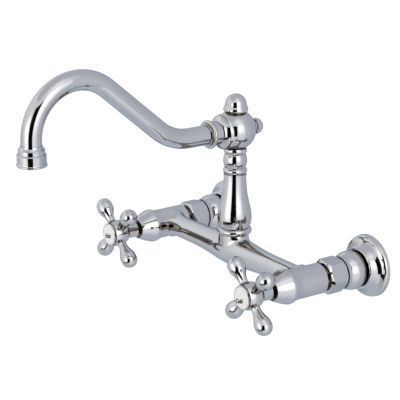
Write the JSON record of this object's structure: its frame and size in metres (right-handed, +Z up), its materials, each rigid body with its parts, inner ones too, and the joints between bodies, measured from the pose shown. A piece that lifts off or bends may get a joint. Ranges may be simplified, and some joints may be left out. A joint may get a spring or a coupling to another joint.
{
  "type": "wall-mounted bathroom faucet",
  "caption": "Wall-mounted bridge faucet with a turned column, a swivelling swan-neck spout, cross handles and bell-shaped wall flanges, in polished chrome.",
  "frame": {"origin": "on the wall face, midway between the inlets and level with their axes", "axes": "+X from the hot side to the cold side, +Y into the wall, +Z up; the spout points along -Y at rest"},
  "size_m": [0.2606, 0.2938, 0.2176],
  "materials": {
    "chrome": "polished plate on brass",
    "brass": "machined",
    "steel": "plain stainless",
    "rubber": "matt",
    "plastic": "moulded acetal",
    "ceramic": "lapped alumina",
    "enamel": "glazed off-white"
  },
  "bodies": {
    "body": {"bridge_body": "chrome", "column": "chrome", "column_gasket": "rubber", "swivel_o_rings": "rubber", "swivel_washer": "plastic", "friction_ring": "plastic", "keeper_washer": "steel", "finial": "chrome", "hot_union_nut": "chrome", "hot_union_washer": "rubber", "hot_strainer": "steel", "hot_inlet_connector": "chrome", "hot_grip_ring": "rubber", "hot_wall_flange": "chrome", "hot_flange_gasket": "rubber", "hot_bonnet": "chrome", "hot_cartridge_body": "brass", "hot_seat_seal": "rubber", "hot_fixed_disc": "ceramic", "cold_union_nut": "chrome", "cold_union_washer": "rubber", "cold_strainer": "steel", "cold_inlet_connector": "chrome", "cold_grip_ring": "rubber", "cold_wall_flange": "chrome", "cold_flange_gasket": "rubber", "cold_bonnet": "chrome", "cold_cartridge_body": "brass", "cold_seat_seal": "rubber", "cold_fixed_disc": "ceramic"},
    "spout": {"hub_ball": "chrome", "spout_ferrule": "chrome", "ferrule_seal": "rubber", "rear_knob": "chrome", "knob_seal": "rubber", "spout_tube": "chrome", "aerator_adapter": "chrome", "aerator_washer": "rubber", "aerator_screen": "steel", "aerator_insert": "plastic", "aerator_housing": "chrome"},
    "hot_handle": {"hot_moving_disc": "ceramic", "hot_spindle": "brass", "hot_spindle_o_rings": "rubber", "hot_circlip": "steel", "hot_handle_cross": "chrome", "hot_handle_screw": "steel", "hot_index_button": "enamel"},
    "cold_handle": {"cold_moving_disc": "ceramic", "cold_spindle": "brass", "cold_spindle_o_rings": "rubber", "cold_circlip": "steel", "cold_handle_cross": "chrome", "cold_handle_screw": "steel", "cold_index_button": "enamel"}
  },
  "joints": [
    {"name": "spout_swivel", "type": "hinge", "parent": "body", "child": "spout", "pos_m": [0, -0.0725, 0.1129], "axis": [0, 0, 1], "range_deg": [-90, 90]},
    {"name": "hot_handle_turn", "type": "hinge", "parent": "body", "child": "hot_handle", "pos_m": [-0.1016, -0.0725, 0], "axis": [0, -1, 0], "range_deg": [0, 90]},
    {"name": "cold_handle_turn", "type": "hinge", "parent": "body", "child": "cold_handle", "pos_m": [0.1016, -0.0725, 0], "axis": [0, 1, 0], "range_deg": [0, 90]}
  ]
}
